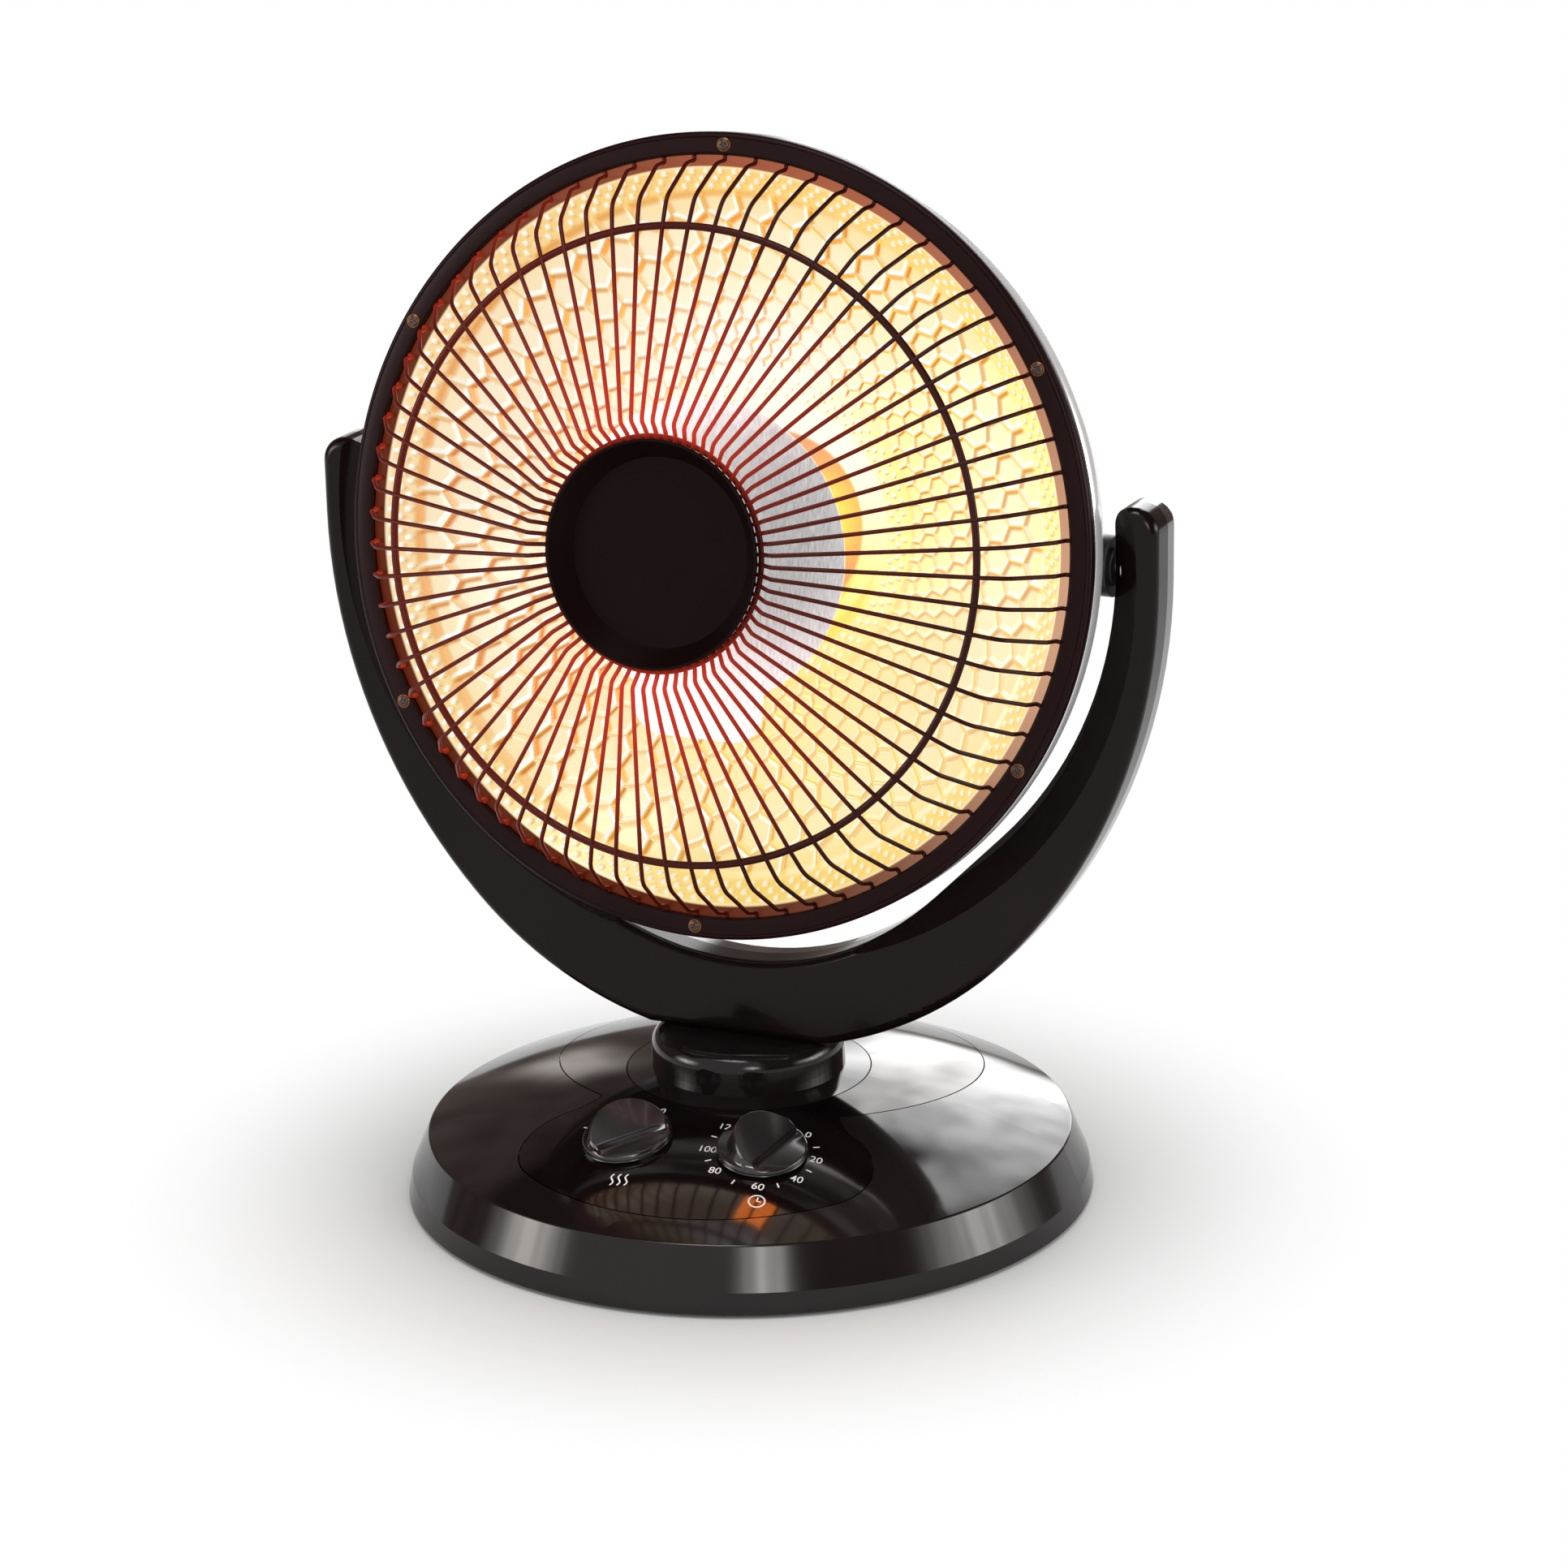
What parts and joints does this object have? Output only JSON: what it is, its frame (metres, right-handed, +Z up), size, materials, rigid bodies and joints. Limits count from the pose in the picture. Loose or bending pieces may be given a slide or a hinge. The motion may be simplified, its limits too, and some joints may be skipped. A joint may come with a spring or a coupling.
{
  "type": "dish heater",
  "caption": "Oscillating electric dish heater: a reflector bowl behind a wire guard tilts in a crescent yoke that turns on a round weighted base with a heat knob and a timer knob.",
  "frame": {"origin": "middle of the base on the floor, under the turning axis of the neck", "axes": "+Z up, -Y to the front of the dish, +X to its right seen from behind; the yoke's arms lie along X and the base stands turned 7.5 degrees about Z"},
  "size_m": [0.42, 0.3294, 0.5087],
  "materials": {
    "shell_gloss": "high gloss",
    "deck_gloss": "high gloss",
    "cover_gloss": "gloss",
    "cover_satin": "satin",
    "knob_gloss": "gloss",
    "bezel_satin": "satin",
    "shell_silver": "satin silver",
    "reflector": "bright anodised",
    "shield": "brushed",
    "guard_black": "gloss",
    "hub_black": "satin",
    "steel": "zinc plated",
    "black_screw": "black oxide",
    "iron": "rough",
    "rubber": "matte",
    "nylon": "natural",
    "inner_black": "matte",
    "ceramic": "unglazed ceramic",
    "wire_hot": "glowing"
  },
  "bodies": {
    "base": {"base_shell": "shell_gloss", "control_deck": "deck_gloss", "bottom_plate": "steel", "plate_screws": "steel", "rubber_feet": "rubber", "ballast": "iron", "bearing_tower": "inner_black", "thrust_washer": "nylon", "tip_switch": "inner_black", "gearmotor": "steel", "terminal_block": "nylon", "cord_gland": "inner_black", "heat_switch": "inner_black", "timer": "steel"},
    "plunger": {"tip_plunger": "nylon"},
    "heat_control": {"heat_knob": "knob_gloss", "heat_shaft": "steel"},
    "timer_control": {"timer_knob": "knob_gloss", "timer_shaft": "steel"},
    "yoke": {"neck": "shell_gloss", "retaining_ring": "steel", "yoke_front_cover": "cover_gloss", "yoke_rear_cover": "cover_satin", "pivot_bushes": "nylon"},
    "dish": {"pivot_pins": "steel", "pivot_boss_left": "inner_black", "pivot_boss_right": "inner_black", "friction_washers": "inner_black", "rear_shell": "shell_silver", "bezel": "bezel_satin", "bezel_screws": "black_screw", "reflector": "reflector", "guard": "guard_black", "hub_cap": "hub_black", "element_holder": "ceramic", "ceramic_core": "ceramic", "heating_coil": "wire_hot", "centre_rod": "steel", "spacer_tube": "ceramic", "heat_shield": "shield", "cap_nut": "steel", "thermal_cutout": "steel", "terminal_cover": "shell_silver"}
  },
  "joints": [
    {"name": "oscillation", "type": "hinge", "parent": "base", "child": "yoke", "pos_m": [0, 0, 0.06], "axis": [0, 0, 1], "range_deg": [-32.5, 47.5]},
    {"name": "tilt", "type": "hinge", "parent": "yoke", "child": "dish", "pos_m": [0, 0, 0.32311], "axis": [-1, 0, 0], "range_deg": [-13, 22]},
    {"name": "heat_turn", "type": "hinge", "parent": "base", "child": "heat_control", "pos_m": [-0.02083, -0.0908, 0.05208], "axis": [-0.0534, -0.2328, 0.9711], "range_deg": [-90, 90]},
    {"name": "timer_turn", "type": "hinge", "parent": "base", "child": "timer_control", "pos_m": [0.04362, -0.08231, 0.05208], "axis": [0.1118, -0.2111, 0.9711], "range_deg": [-264, 0]},
    {"name": "tip_slide", "type": "slide", "parent": "base", "child": "plunger", "axis": [0, 0, -1], "range_m": [0, 0.004], "stiffness_N_per_m": 120, "springref_m": 0.006}
  ]
}
